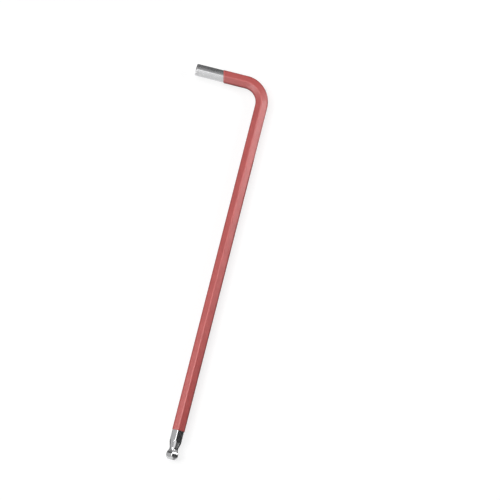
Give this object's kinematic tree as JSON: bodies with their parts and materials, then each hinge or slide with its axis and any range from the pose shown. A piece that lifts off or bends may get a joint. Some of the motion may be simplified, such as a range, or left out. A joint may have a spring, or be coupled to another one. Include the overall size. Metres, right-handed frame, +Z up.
{
  "type": "hex key",
  "caption": "L-shaped long-arm hex key with a crowned ball end on the long arm, a plain chamfered end on the short arm and a red coat between them.",
  "frame": {"origin": "on the surface that the key lies on, under the middle of its outline", "axes": "+Y along the long arm from the ball end towards the bend, -X along the short arm towards its plain end, +Z up out of the plane of the bend"},
  "size_m": [0.0332, 0.1652, 0.0059],
  "materials": {
    "steel": "satin chrome plate",
    "coat": "fine textured satin powder coat, red"
  },
  "bodies": {
    "root": {"steel_bar": "steel", "colour_coat": "coat"}
  },
  "joints": []
}
